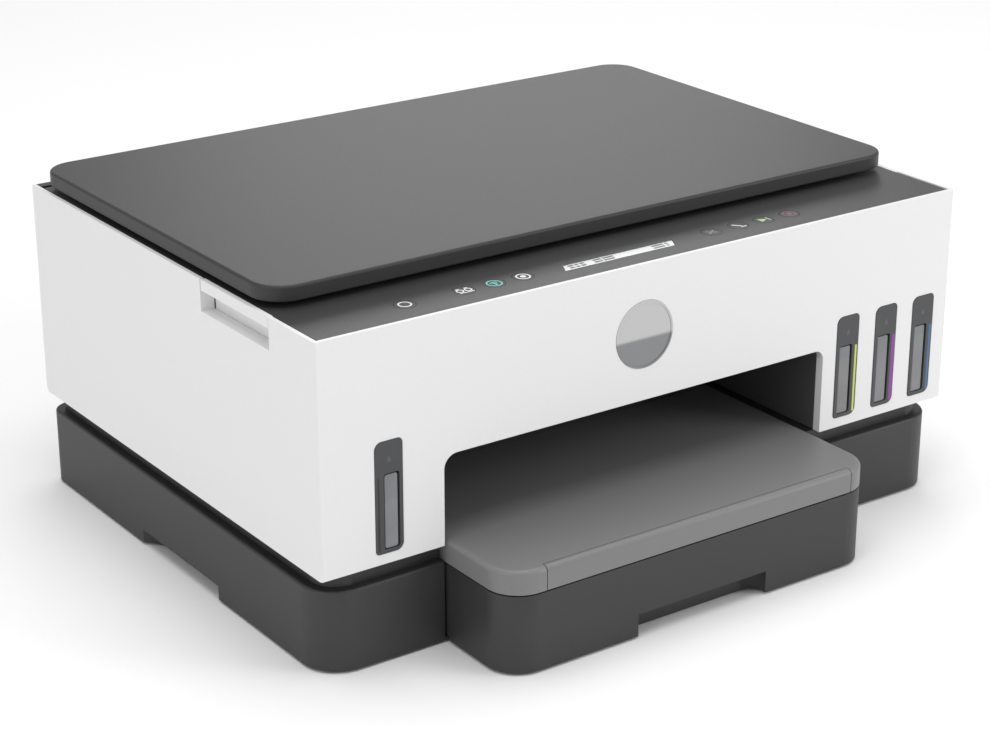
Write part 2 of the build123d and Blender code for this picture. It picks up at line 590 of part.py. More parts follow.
# ---- platen: ribbed paper support with two end arms that carry the rollers
with BuildPart() as platen:
    block(-131, 101, 14, 62, PLATE_Z, 77)
    block(-128, 98, 16, 60, PLATE_Z - 1, 74.5, mode=Mode.SUBTRACT)
    for arm_x in (-134, 101):
        block(arm_x, arm_x + 3, 0, 77, PLATE_Z, 80.4)
    for rib_x in range(-120, 91, 15):
        block(rib_x - 0.7, rib_x + 0.7, 15, 61, 76.5, 78.3)
    rod_x(-136, 106, OUT_Y, ROLLER_Z, 2 + SHAFT_CLEARANCE, mode=Mode.SUBTRACT)
    rod_x(-136, 106, FEED_Y, ROLLER_Z, 3 + SHAFT_CLEARANCE, mode=Mode.SUBTRACT)
finish(platen.part, "platen")

# ---- service station: tub with two capping pads and a wiper blade
with BuildPart() as service_station:
    block(128, 204, 26, 66, PLATE_Z, 74)
    block(131, 201, 29, 63, 64, 75, mode=Mode.SUBTRACT)
    for pad_x in (149, 181):
        block(pad_x - 11, pad_x + 11, 34, 58, 63, 79)
        block(pad_x - 9, pad_x + 9, 36, 56, 77, 80, mode=Mode.SUBTRACT)
    block(133, 134.4, 33, 58, 63, 79.6)
finish(service_station.part, "service_station")

# ---- ink tubes: from each tank round to a flexible loop that ends on top of the carriage
with BuildPart() as ink_tubes:
    for colour, (lane_y, loop_y) in TUBE_LANES.items():
        tank_left, tank_right = TANK_SIDES[colour]
        outlet_x = (tank_left + tank_right) / 2
        turn_x = -70 - (loop_y - lane_y) / 2
        route = [(outlet_x, OUTLET_Y, TANK_TOP + 6), (outlet_x, OUTLET_Y, TUBE_Z)]
        route.append((outlet_x, lane_y, TUBE_Z))
        if colour != "black":
            route.append((turn_x, lane_y, TUBE_Z))
            route.append((turn_x, loop_y, TUBE_Z))
        route.append((LOOP_X, loop_y, TUBE_Z))
        route.append((LOOP_X, loop_y, LOOP_Z))
        route.append((TUBE_END_X, loop_y, LOOP_Z))
        with BuildLine() as tube_path:
            FilletPolyline(*route, radius=3.4)
        start = route[0]
        with BuildSketch(Plane(origin=start, z_dir=(0, 0, 1))):
            Circle(TUBE_RADIUS)
        sweep(path=tube_path.wires()[0])
finish(ink_tubes.part, "ink_tubes")

# ================================================================ carriage
with BuildPart() as carriage:
    block(CARRIAGE_X - 35, CARRIAGE_X + 35, 24, 72, 85, 126)
    fillet(carriage.edges().filter_by(Axis.Z), 4)
    block(CARRIAGE_X - 32, CARRIAGE_X + 32, 27, 67, 88, 127, mode=Mode.SUBTRACT)
    for head_x in (CARRIAGE_X - 16, CARRIAGE_X + 16):
        block(head_x - 12, head_x + 12, 32, 58, 84, 89, mode=Mode.SUBTRACT)
    block(CARRIAGE_X - 22, CARRIAGE_X + 22, 70, 86, 90, 110)
    block(CARRIAGE_X - 10, CARRIAGE_X + 10, 70, 88.2, 108, 128.4)
    block(CARRIAGE_X - 10, CARRIAGE_X + 10, 88, 93, 116.5, 119.4)
    block(CARRIAGE_X - 10, CARRIAGE_X + 10, 88, 93, 126.6, 128.4)
    # bar across the top, where the ink tubes plug in
    block(CARRIAGE_X - 14, CARRIAGE_X - 6, 26, 72, 122, 128.4)
    rod_x(CARRIAGE_X - 30, CARRIAGE_X + 30, ROD_Y, ROD_Z, ROD_RADIUS + SHAFT_CLEARANCE, mode=Mode.SUBTRACT)
finish(carriage.part, "carriage")

with BuildPart() as print_heads:
    for head_x in (CARRIAGE_X - 16, CARRIAGE_X + 16):
        block(head_x - 14.5, head_x + 14.5, 29, 65, 88, 116)
        block(head_x - 11, head_x + 11, 33, 57, 81, 88)
finish(print_heads.part, "print_heads")

# ---- pulleys on the motor shaft and the idler post
for name, pulley_x, bore in (("drive_pulley", -PULLEY_X, 1.5), ("idler_pulley", PULLEY_X, 2.0)):
    with BuildPart() as pulley:
        rod_z(BELT_LOW, BELT_HIGH, pulley_x, BELT_Y, PULLEY_RADIUS)
        rod_z(BELT_LOW - 1.2, BELT_LOW, pulley_x, BELT_Y, 7.6)
        rod_z(BELT_HIGH, BELT_HIGH + 1, pulley_x, BELT_Y, 7.6)
        rod_z(BELT_LOW - 2, BELT_HIGH + 2, pulley_x, BELT_Y, bore + SHAFT_CLEARANCE, mode=Mode.SUBTRACT)
    finish(pulley.part, name)

# ================================================================ paper feed
with BuildPart() as feed_roller:
    rod_x(-211, 105, FEED_Y, ROLLER_Z, 3)
    for sleeve_x in (-118, -70, -22, 26, 74):
        rod_x(sleeve_x - 12, sleeve_x + 12, FEED_Y, ROLLER_Z, 5.5)
finish(feed_roller.part, "feed_roller")


def side_plane(y):
    """Plane of the gears' left faces, centred on a roller or motor axis."""
    return Plane(origin=(GEAR_LEFT, y, ROLLER_Z), x_dir=(0, 1, 0), z_dir=(1, 0, 0))


with BuildPart() as feed_gear:
    with BuildSketch(side_plane(FEED_Y)):
        gear_profile(GEAR_TEETH, 0)
        Circle(3, mode=Mode.SUBTRACT)
    extrude(amount=GEAR_RIGHT - GEAR_LEFT)
finish(feed_gear.part, "feed_gear")

with BuildPart() as motor_pinion:
    with BuildSketch(side_plane(MOTOR_Y)):
        gear_profile(PINION_TEETH, pi / PINION_TEETH)
        Circle(1.2 + SHAFT_CLEARANCE, mode=Mode.SUBTRACT)
    extrude(amount=GEAR_RIGHT - GEAR_LEFT)
finish(motor_pinion.part, "motor_pinion")

with BuildPart() as output_roller:
    rod_x(-135, 105, OUT_Y, ROLLER_Z, 2)
    for ring_x in range(-111, 91, 32):
        rod_x(ring_x - 4, ring_x + 4, OUT_Y, ROLLER_Z, 5.3)
finish(output_roller.part, "output_roller")

with BuildPart() as pickup_roller:
    rod_x(-127.8, 97.8, PICKUP_Y, PICKUP_Z, 2)
    rod_x(-30, 0, PICKUP_Y, PICKUP_Z, 9)
    rod_x(-36, -30, PICKUP_Y, PICKUP_Z, 6)
    rod_x(0, 6, PICKUP_Y, PICKUP_Z, 6)
finish(pickup_roller.part, "pickup_roller")

# ================================================================ scanner unit
with BuildPart() as top_deck:
    block(-DECK_HALF, DECK_HALF, DECK_FRONT, DECK_REAR, 180, DECK_TOP)
    fillet(top_deck.edges().filter_by(Axis.Z).group_by(Axis.Y)[0], 1.5)
    block(-DECK_HALF + 2, DECK_HALF - 2, DECK_FRONT + 2, DECK_REAR - 2, 179, DECK_UNDER,
          mode=Mode.SUBTRACT)
    # room for the finger recesses, whose outer lip takes the place of the deck edge
    for side in (-1, 1):
        skirt = sorted((side * (HALF - GRIP_DEPTH - 2), side * HALF))
        block(skirt[0], skirt[1], GRIP_FRONT - 3, GRIP_REAR + 3, 179, DECK_UNDER, mode=Mode.SUBTRACT)
    # ledge and window for the glass
    gx0, gx1, gy0, gy1 = GLASS
    block(gx0 - 4, gx1 + 4, gy0 - 4, gy1 + 4, 187.6, DECK_UNDER)
    block(gx0 + 4, gx1 - 4, gy0 + 4, gy1 - 4, 187, DECK_TOP + 1, mode=Mode.SUBTRACT)
    block(gx0, gx1, gy0, gy1, 189.8, DECK_TOP + 1, mode=Mode.SUBTRACT)
    # keys and display
    with Locations(*[(x, PANEL_Y, DECK_TOP) for x in KEYS.values()]):
        Cylinder(KEY_RADIUS + KEY_GAP, 12, mode=Mode.SUBTRACT)
    with BuildSketch(Plane.XY.offset(DECK_UNDER - 1)):
        with BuildLine():
            Polyline(*DISPLAY, close=True)
        make_face()
    extrude(amount=6, mode=Mode.SUBTRACT)
    # hinge barrels that turn on the pins of the rear cover
    for hinge_x in (-SCANNER_HINGE_X, SCANNER_HINGE_X):
        block(hinge_x - 9.8, hinge_x + 9.8, DECK_REAR - 3, SCANNER_HINGE_Y, 188.2, 192)
        rod_x(hinge_x - 9.8, hinge_x + 9.8, SCANNER_HINGE_Y, SCANNER_HINGE_Z, 2.8)
        rod_x(hinge_x - 11, hinge_x + 11, SCANNER_HINGE_Y, SCANNER_HINGE_Z, 1.5 + SHAFT_CLEARANCE,
              mode=Mode.SUBTRACT)
finish(top_deck.part, "top_deck")

with BuildPart() as scanner_glass:
    block(gx0 + 0.15, gx1 - 0.15, gy0 + 0.15, gy1 - 0.15, 189.8, 192.3)
finish(scanner_glass.part, "scanner_glass")

with BuildPart() as display:
    with BuildSketch(Plane.XY.offset(DECK_UNDER - 2)) as display_face:
        with BuildLine():
            Polyline(*DISPLAY, close=True)
        make_face()
        offset(amount=-0.15, kind=Kind.INTERSECTION)
    extrude(amount=DECK_TOP - 0.1 - DECK_UNDER + 2)
    block(-58, 29, -121.5, -108.5, DECK_UNDER - 2, DECK_UNDER)
finish(display.part, "display")

with BuildPart() as scanner_pan:
    block(-207, 207, -126, 178, PAN_BOTTOM, DECK_UNDER)
    fillet(scanner_pan.edges().filter_by(Axis.Z), 6)
    block(-205, 205, -124, 176, PAN_BOTTOM + 2, DECK_UNDER + 1, mode=Mode.SUBTRACT)
    # two runners for the scan bar
    for runner_y in (-30, 134):
        block(-200, 200, runner_y - 2, runner_y + 2, PAN_BOTTOM + 1, 165)
finish(scanner_pan.part, "scanner_pan")

with BuildPart() as scan_bar:
    block(-150, -124, -52, 156, 165.3, 180)
    fillet(scan_bar.edges().filter_by(Axis.Y), 2)
    block(-143, -131, -48, 152, 179, 185)
    block(-139, -135, -46, 150, 184, 186, mode=Mode.SUBTRACT)
finish(scan_bar.part, "scan_bar")

# ---- lift grips: an outer lip at each side with the back wall of the finger recess
with BuildPart() as lift_grips:
    for side in (-1, 1):
        lip = sorted((side * (HALF - 0.1), side * (DECK_HALF + 0.2)))
        under = sorted((side * (DECK_HALF + 1), side * (HALF - GRIP_DEPTH - 2)))
        back = sorted((side * (HALF - GRIP_DEPTH - 0.3), side * (HALF - GRIP_DEPTH - 2)))
        block(lip[0], lip[1], GRIP_FRONT + 0.6, GRIP_REAR - 0.6, 186.6, SHELL_TOP - 0.1)
        block(under[0], under[1], GRIP_FRONT + 0.6, GRIP_REAR - 0.6, 186.6, DECK_UNDER)
        block(back[0], back[1], GRIP_FRONT + 0.6, GRIP_REAR - 0.6, GRIP_FLOOR - 3, 187)
finish(lift_grips.part, "lift_grips")

# ---- lid hinges: two posts on the deck, each with a pin that the lid turns on
with BuildPart() as lid_hinges:
    for hinge_x in (-LID_HINGE_X, LID_HINGE_X):
        block(hinge_x - 9, hinge_x + 9, 175, LID_HINGE_Y - 0.5, DECK_TOP, 197.5)
        rod_x(hinge_x - 9, hinge_x + 9, LID_HINGE_Y, LID_HINGE_Z, 2.9)
        block(hinge_x - 9, hinge_x + 9, 179, LID_HINGE_Y, 197, LID_HINGE_Z + 2)
        rod_x(hinge_x - 14, hinge_x + 14, LID_HINGE_Y, LID_HINGE_Z, 1.5)
finish(lid_hinges.part, "lid_hinges")

# ---- keys, each with a flange under the deck
for key_name, key_x in KEYS.items():
    with BuildPart() as key:
        rod_z(186.5, DECK_TOP, key_x, PANEL_Y, KEY_RADIUS)
        rod_z(KEY_UNDER - 2, KEY_UNDER, key_x, PANEL_Y, KEY_RADIUS + 1.3)
    finish(key.part, f"button_{key_name}")

# ================================================================ lid
with BuildPart() as lid:
    with BuildSketch(Plane.XY.offset(LID_BOTTOM)):
        with Locations((0, (LID_FRONT + LID_REAR) / 2)):
            RectangleRounded(2 * LID_HALF, LID_REAR - LID_FRONT, LID_RADIUS)
    extrude(amount=LID_TOP - LID_BOTTOM)
    fillet(lid.edges().group_by(Axis.Z)[-1], 1.6)
    fillet(lid.edges().group_by(Axis.Z)[0], 1.0)
    block(-LID_HALF + 24, LID_HALF - 24, LID_FRONT + 12, 168, LID_BOTTOM - 1, 202.4, mode=Mode.SUBTRACT)
    for hinge_x in (-LID_HINGE_X, LID_HINGE_X):
        block(hinge_x - 9.6, hinge_x + 9.6, 172, LID_REAR + 1, LID_BOTTOM - 1, 203, mode=Mode.SUBTRACT)
        rod_x(hinge_x - 14.5, hinge_x + 14.5, LID_HINGE_Y, LID_HINGE_Z, 1.5 + SHAFT_CLEARANCE,
              mode=Mode.SUBTRACT)
finish(lid.part, "lid")

with BuildPart() as lid_pad:
    block(-160, 154, -60, 164, 193.4, 202.4)
    fillet(lid_pad.edges().filter_by(Axis.Z), 6)
finish(lid_pad.part, "lid_pad")

# ================================================================ paper trays
with BuildPart() as paper_tray:
    with BuildSketch(Plane.XY.offset(TRAY_FLOOR)):
        tray_plan(0, TRAY_REAR)
    extrude(amount=TRAY_TOP - TRAY_FLOOR)
    # deeper front apron that reaches as low as the base
    with BuildSketch(Plane.XY.offset(FOOT_HEIGHT)):
        tray_plan(0, FRONT - 0.5)
    extrude(amount=TRAY_FLOOR - FOOT_HEIGHT)
    with BuildSketch(Plane.XY.offset(TRAY_FLOOR + 2)):
        tray_plan(WALL, TRAY_REAR - 2)
    extrude(amount=TRAY_TOP, mode=Mode.SUBTRACT)
    block(TRAY_LEFT - 1, TRAY_RIGHT + 1, TRAY_REAR - 60, TRAY_REAR + 1, 30, TRAY_TOP + 1,
          mode=Mode.SUBTRACT)
    block(TRAY_LEFT - 1, TRAY_RIGHT + 1, -40, TRAY_REAR, 46, TRAY_TOP + 1, mode=Mode.SUBTRACT)
    # pull notch under the front edge, closed inside by a pocket
    block(-61, 38, TRAY_FRONT + 2, TRAY_FRONT + 15, FOOT_HEIGHT, 18)
    with BuildSketch(Plane.XY.offset(FOOT_HEIGHT - 1)):
        with BuildLine():
            Line((-57.5, TRAY_FRONT - 1), (-57.5, TRAY_FRONT + 10.5))
            Line((-57.5, TRAY_FRONT + 10.5), (25, TRAY_FRONT + 10.5))
            TangentArc((25, TRAY_FRONT + 10.5), (34.6, TRAY_FRONT), tangent=(1, 0))
            Line((34.6, TRAY_FRONT), (34.6, TRAY_FRONT - 1))
            Line((34.6, TRAY_FRONT - 1), (-57.5, TRAY_FRONT - 1))
        make_face()
    extrude(amount=14.5, mode=Mode.SUBTRACT)
    # ears that carry the pins of the output tray
    for ear_x in (TRAY_LEFT + 3.6, TRAY_RIGHT - 6.6):
        block(ear_x, ear_x + 3, OUTPUT_HINGE_Y - 3, OUTPUT_HINGE_Y + 3, TRAY_FLOOR + 1, OUTPUT_HINGE_Z)
        rod_x(ear_x, ear_x + 3, OUTPUT_HINGE_Y, OUTPUT_HINGE_Z, 3)
        rod_x(ear_x - 1, ear_x + 4, OUTPUT_HINGE_Y, OUTPUT_HINGE_Z, 1.5 + SHAFT_CLEARANCE,
              mode=Mode.SUBTRACT)
finish(paper_tray.part, "paper_tray")

# ---- paper guides in the tray
with BuildPart() as width_guide_left:
    block(-125, -123, -60, 60, GUIDE_FLOOR, 38)
    block(-124, -72, -6, 4, GUIDE_FLOOR, GUIDE_FLOOR + 1.6)
    block(-141, -124, 16, 44, GUIDE_FLOOR, GUIDE_FLOOR + 2)
finish(width_guide_left.part, "width_guide_left")

with BuildPart() as width_guide_right:
    block(93.5, 95.5, -60, 60, GUIDE_FLOOR, 38)
    block(42.5, 94.5, 8, 18, GUIDE_FLOOR, GUIDE_FLOOR + 1.6)
    block(94.5, 111.5, 16, 44, GUIDE_FLOOR, GUIDE_FLOOR + 2)
finish(width_guide_right.part, "width_guide_right")

with BuildPart() as length_guide:
    block(-42, 12, -173, -171, GUIDE_FLOOR, 36)
    block(-30, 0, -172, -140, GUIDE_FLOOR, GUIDE_FLOOR + 1.6)
finish(length_guide.part, "length_guide")

# ---- output tray: the cover of the paper tray
def output_block():
    """Add the whole tray cover, with its rounded top edge."""
    with BuildPart(mode=Mode.PRIVATE) as cover:
        with BuildSketch(Plane.XY.offset(TRAY_TOP + SEAM)):
            tray_plan(0, OUTPUT_REAR)
        extrude(amount=OUTPUT_TOP - TRAY_TOP - SEAM)
        fillet(cover.edges().group_by(Axis.Z)[-1].sort_by(Axis.Y)[:-1], TRAY_EDGE)
    add(cover.part)


with BuildPart() as output_tray:
    output_block()
    with BuildSketch(Plane.XY.offset(TRAY_TOP)):
        tray_plan(APRON, OUTPUT_REAR + 1)
    extrude(amount=OUTPUT_TOP - 4.2 - TRAY_TOP, mode=Mode.SUBTRACT)
    # gap in the front edge for the extender lip
    block(LIP_LEFT - LIP_GAP, LIP_RIGHT + LIP_GAP, TRAY_FRONT - 1, TRAY_FRONT + LIP_DEPTH + LIP_GAP,
          TRAY_TOP, OUTPUT_TOP + 1, mode=Mode.SUBTRACT)
    block(LIP_LEFT + 4, LIP_RIGHT - 4, TRAY_FRONT + LIP_DEPTH, TRAY_FRONT + 8, 52, 55.6,
          mode=Mode.SUBTRACT)
    # runners that hold the extender plate
    for runner_x, ledge_x in ((-118, -116), (93.6, 90.6)):
        block(runner_x, runner_x + 2, TRAY_FRONT + 12, -40, 50.5, OUTPUT_TOP - 4)
        block(ledge_x, ledge_x + 5, TRAY_FRONT + 12, -40, 50.5, 52)
    rod_x(TRAY_LEFT + 2, TRAY_LEFT + 6.4, OUTPUT_HINGE_Y, OUTPUT_HINGE_Z, 1.5)
    rod_x(TRAY_RIGHT - 6.4, TRAY_RIGHT - 2, OUTPUT_HINGE_Y, OUTPUT_HINGE_Z, 1.5)
finish(output_tray.part, "output_tray")

# ---- extender: the middle of the front edge, with the plate that slides out behind it
with BuildPart() as tray_extender:
    output_block()
    block(LIP_LEFT, LIP_RIGHT, TRAY_FRONT - 1, TRAY_FRONT + LIP_DEPTH, TRAY_TOP, OUTPUT_TOP + 1,
          mode=Mode.INTERSECT)
    block(LIP_LEFT + 4.2, LIP_RIGHT - 4.2, TRAY_FRONT + 2, -60, 52.4, 55.2)
finish(tray_extender.part, "tray_extender")
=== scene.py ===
"""Looks of the inkjet printer: surfaces, printed marks, lid pad, ink tubes, floor, light and camera."""
import json
import math

import bmesh
import bpy
from mathutils import Euler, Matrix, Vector


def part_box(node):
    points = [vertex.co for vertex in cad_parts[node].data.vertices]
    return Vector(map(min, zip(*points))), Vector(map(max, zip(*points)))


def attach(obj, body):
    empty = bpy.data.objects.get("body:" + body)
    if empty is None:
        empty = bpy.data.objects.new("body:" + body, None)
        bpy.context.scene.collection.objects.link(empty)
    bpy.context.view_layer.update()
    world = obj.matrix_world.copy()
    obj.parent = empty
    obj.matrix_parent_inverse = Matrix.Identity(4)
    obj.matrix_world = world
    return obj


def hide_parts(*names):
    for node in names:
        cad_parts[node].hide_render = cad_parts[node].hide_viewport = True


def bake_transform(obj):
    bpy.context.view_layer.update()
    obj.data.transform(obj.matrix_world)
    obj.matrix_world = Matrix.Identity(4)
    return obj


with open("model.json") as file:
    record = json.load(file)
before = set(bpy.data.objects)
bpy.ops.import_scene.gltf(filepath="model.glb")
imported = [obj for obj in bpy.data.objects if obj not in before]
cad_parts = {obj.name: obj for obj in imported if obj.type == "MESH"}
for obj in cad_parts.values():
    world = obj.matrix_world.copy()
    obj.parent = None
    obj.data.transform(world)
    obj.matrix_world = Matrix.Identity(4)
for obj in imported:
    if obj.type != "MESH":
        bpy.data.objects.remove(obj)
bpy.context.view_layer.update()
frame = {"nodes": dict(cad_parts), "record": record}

NODES = frame["nodes"]

MM = 0.001


# ---------------------------------------------------------------- materials
def new_material(name):
    """An empty node material with its Principled shader and object coordinates."""
    material = bpy.data.materials.new(name)
    material.use_nodes = True
    nodes = material.node_tree.nodes
    shader = nodes["Principled BSDF"]
    coords = nodes.new("ShaderNodeTexCoord")
    return material, nodes, material.node_tree.links, shader, coords.outputs["Object"]


def noise(nodes, links, vector, size, detail=3.0, rough=0.55):
    """A noise texture whose blotches are about size metres across."""
    texture = nodes.new("ShaderNodeTexNoise")
    texture.inputs["Scale"].default_value = 1.0 / size
    texture.inputs["Detail"].default_value = detail
    texture.inputs["Roughness"].default_value = rough
    links.new(vector, texture.inputs["Vector"])
    return texture.outputs["Fac"]


def remap(nodes, links, value, low, high, from_low=0.3, from_high=0.7):
    """The value spread over low to high."""
    node = nodes.new("ShaderNodeMapRange")
    node.inputs["From Min"].default_value = from_low
    node.inputs["From Max"].default_value = from_high
    node.inputs["To Min"].default_value = low
    node.inputs["To Max"].default_value = high
    links.new(value, node.inputs["Value"])
    return node.outputs["Result"]


def mix(nodes, links, factor, first, second):
    """Colour between first and second; each is a colour or a socket."""
    node = nodes.new("ShaderNodeMix")
    node.data_type = "RGBA"
    for socket, value in ((node.inputs[6], first), (node.inputs[7], second)):
        if hasattr(value, "is_output"):
            links.new(value, socket)
        else:
            socket.default_value = (*value, 1.0)
    if hasattr(factor, "is_output"):
        links.new(factor, node.inputs[0])
    else:
        node.inputs[0].default_value = factor
    return node.outputs[2]


def shade(colour, gain):
    """A colour made lighter or darker."""
    return tuple(min(c * gain, 1.0) for c in colour)


def add_bump(nodes, links, shader, height, strength, distance):
    """Surface relief of the given height signal."""
    bump = nodes.new("ShaderNodeBump")
    bump.inputs["Strength"].default_value = strength
    bump.inputs["Distance"].default_value = distance
    links.new(height, bump.inputs["Height"])
    links.new(bump.outputs["Normal"], shader.inputs["Normal"])
    return bump


def plastic(name, colour, rough=0.45, grain=0.0007, relief=0.18, speckle=0.05, cloud=0.03,
            specular=0.5, coat=0.0):
    """Moulded plastic: spark-eroded grain, faint flow clouds and uneven gloss."""
    material, nodes, links, shader, place = new_material(name)
    fine = noise(nodes, links, place, grain, 4.0, 0.6)
    broad = noise(nodes, links, place, 0.09, 2.0, 0.5)
    grains = mix(nodes, links, remap(nodes, links, fine, 0.0, 1.0),
                 shade(colour, 1 - speckle), shade(colour, 1 + speckle))
    clouds = mix(nodes, links, remap(nodes, links, broad, 0.0, cloud * 4), grains,
                 shade(colour, 1 + 2 * cloud))
    links.new(clouds, shader.inputs["Base Color"])
    links.new(remap(nodes, links, fine, rough - 0.05, rough + 0.05), shader.inputs["Roughness"])
    shader.inputs["Specular IOR Level"].default_value = specular
    shader.inputs["Coat Weight"].default_value = coat
    add_bump(nodes, links, shader, fine, relief, 0.00006)
    return material


def metal(name, colour, rough=0.3, stretch=(1, 40, 40), size=0.004, relief=0.1):
    """Brushed or rolled metal with fine lines along one axis."""
    material, nodes, links, shader, place = new_material(name)
    mapping = nodes.new("ShaderNodeMapping")
    mapping.inputs["Scale"].default_value = stretch
    links.new(place, mapping.inputs["Vector"])
    lines = noise(nodes, links, mapping.outputs["Vector"], size, 4.0, 0.6)
    tone = mix(nodes, links, remap(nodes, links, lines, 0.0, 1.0), shade(colour, 0.85), shade(colour, 1.1))
    links.new(tone, shader.inputs["Base Color"])
    links.new(remap(nodes, links, lines, rough - 0.07, rough + 0.09), shader.inputs["Roughness"])
    shader.inputs["Metallic"].default_value = 1.0
    add_bump(nodes, links, shader, lines, relief, 0.00004)
    return material


def rubber(name, colour, rough=0.75):
    """Ground rubber with a mealy surface."""
    return plastic(name, colour, rough, grain=0.0011, relief=0.45, speckle=0.12, cloud=0.05, specular=0.3)


def clear_glass():
    """The flat glass of the scanner, with the faint green of thick glass."""
    material, nodes, links, shader, place = new_material("scanner_glass")
    haze = noise(nodes, links, place, 0.03, 3.0, 0.6)
    tint = mix(nodes, links, remap(nodes, links, haze, 0.0, 1.0), (0.80, 0.90, 0.88), (0.86, 0.94, 0.92))
    links.new(tint, shader.inputs["Base Color"])
    links.new(remap(nodes, links, haze, 0.02, 0.05), shader.inputs["Roughness"])
    shader.inputs["Transmission Weight"].default_value = 1.0
    shader.inputs["IOR"].default_value = 1.5
    return material


def ink_window(name, empty, ink, level):
    """Smoky translucent tank wall: darker below the ink level, with a soft line at the top of the ink."""
    material, nodes, links, shader, place = new_material(name)
    split = nodes.new("ShaderNodeSeparateXYZ")
    links.new(place, split.inputs[0])
    below = remap(nodes, links, split.outputs["Z"], 1.0, 0.0, level - 0.0006, level + 0.0006)
    fine = noise(nodes, links, place, 0.0012, 3.0, 0.6)
    broad = noise(nodes, links, place, 0.02, 2.0, 0.5)
    wall = mix(nodes, links, remap(nodes, links, broad, 0.0, 1.0), shade(empty, 0.93), shade(empty, 1.07))
    filled = mix(nodes, links, remap(nodes, links, broad, 0.0, 1.0), shade(ink, 0.92), shade(ink, 1.08))
    links.new(mix(nodes, links, below, wall, filled), shader.inputs["Base Color"])
    links.new(remap(nodes, links, fine, 0.16, 0.24), shader.inputs["Roughness"])
    shader.inputs["Coat Weight"].default_value = 0.3
    shader.inputs["Coat Roughness"].default_value = 0.08
    add_bump(nodes, links, shader, broad, 0.06, 0.0004)
    return material


def circuit_board():
    """Green solder mask with fine tracks and pale pads."""
    material, nodes, links, shader, place = new_material("circuit_board")
    cells = nodes.new("ShaderNodeTexVoronoi")
    cells.feature = "DISTANCE_TO_EDGE"
    cells.distance = "CHEBYCHEV"
    cells.inputs["Scale"].default_value = 260.0
    links.new(place, cells.inputs["Vector"])
    track = remap(nodes, links, cells.outputs["Distance"], 1.0, 0.0, 0.02, 0.08)
    broad = noise(nodes, links, place, 0.012, 2.0, 0.5)
    patches = remap(nodes, links, broad, 0.0, 1.0)
    mask = mix(nodes, links, patches, (0.008, 0.055, 0.025), (0.012, 0.075, 0.035))
    links.new(mix(nodes, links, track, mask, (0.03, 0.16, 0.08)), shader.inputs["Base Color"])
    shader.inputs["Roughness"].default_value = 0.3
    add_bump(nodes, links, shader, track, 0.3, 0.00006)
    return material


def badge_metal():
    """Satin disc with turned rings and a painted reflection: bright above, deeper grey below."""
    material, nodes, links, shader, place = new_material("badge_metal")
    low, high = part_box("badge")
    split = nodes.new("ShaderNodeSeparateXYZ")
    links.new(place, split.inputs[0])
    # painted reflection: the colour is lighter above this height and darker below, standing in for reflected
    # light
    middle = low.z + 0.44 * (high.z - low.z)
    reflection_upper = remap(nodes, links, split.outputs["Z"], 0.0, 1.0, middle - 0.001, middle + 0.001)
    centre = nodes.new("ShaderNodeVectorMath")
    centre.operation = "DISTANCE"
    links.new(place, centre.inputs[0])
    centre.inputs[1].default_value = (low + high) / 2
    rings = nodes.new("ShaderNodeMath")
    rings.operation = "SINE"
    scaled = nodes.new("ShaderNodeMath")
    scaled.operation = "MULTIPLY"
    scaled.inputs[1].default_value = 9000.0
    links.new(centre.outputs["Value"], scaled.inputs[0])
    links.new(scaled.outputs[0], rings.inputs[0])
    tone = mix(nodes, links, reflection_upper, (0.23, 0.235, 0.24), (0.52, 0.52, 0.525))
    links.new(tone, shader.inputs["Base Color"])
    links.new(remap(nodes, links, rings.outputs[0], 0.26, 0.34, -1.0, 1.0), shader.inputs["Roughness"])
    shader.inputs["Metallic"].default_value = 0.35
    add_bump(nodes, links, shader, rings.outputs[0], 0.05, 0.00003)
    return material


def glowing(name, colour, light, strength):
    """A printed or lit mark: flat ink with a slight mottle, and light of its own where it is lit."""
    material, nodes, links, shader, place = new_material(name)
    mottle = noise(nodes, links, place, 0.0009, 3.0, 0.6)
    tone = mix(nodes, links, remap(nodes, links, mottle, 0.0, 1.0), shade(colour, 0.88), shade(colour, 1.1))
    links.new(tone, shader.inputs["Base Color"])
    links.new(remap(nodes, links, mottle, 0.35, 0.5), shader.inputs["Roughness"])
    shader.inputs["Emission Color"].default_value = (*light, 1.0)
    shader.inputs["Emission Strength"].default_value = strength
    return material


def display_face():
    """The reflective display: pale grey with a faint pixel grid."""
    material, nodes, links, shader, place = new_material("display_window")
    grid = nodes.new("ShaderNodeTexBrick")
    grid.inputs["Scale"].default_value = 900.0
    grid.inputs["Color1"].default_value = (0.40, 0.41, 0.41, 1.0)
    grid.inputs["Color2"].default_value = (0.36, 0.37, 0.37, 1.0)
    grid.inputs["Mortar"].default_value = (0.30, 0.31, 0.31, 1.0)
    grid.inputs["Mortar Size"].default_value = 0.03
    links.new(place, grid.inputs["Vector"])
    links.new(grid.outputs["Color"], shader.inputs["Base Color"])
    shader.inputs["Roughness"].default_value = 0.25
    shader.inputs["Coat Weight"].default_value = 0.6
    shader.inputs["Coat Roughness"].default_value = 0.05
    return material


def foam():
    """White film over open foam: soft dimples and a fine weave-like grain."""
    material, nodes, links, shader, place = new_material("pad_foam")
    dimples = noise(nodes, links, place, 0.006, 3.0, 0.5)
    fine = noise(nodes, links, place, 0.0008, 3.0, 0.6)
    tone = mix(nodes, links, remap(nodes, links, dimples, 0.0, 1.0), (0.72, 0.72, 0.70), (0.82, 0.82, 0.81))
    links.new(tone, shader.inputs["Base Color"])
    links.new(remap(nodes, links, fine, 0.55, 0.72), shader.inputs["Roughness"])
    shader.inputs["Sheen Weight"].default_value = 0.15
    add_bump(nodes, links, shader, fine, 0.25, 0.00015)
    return material


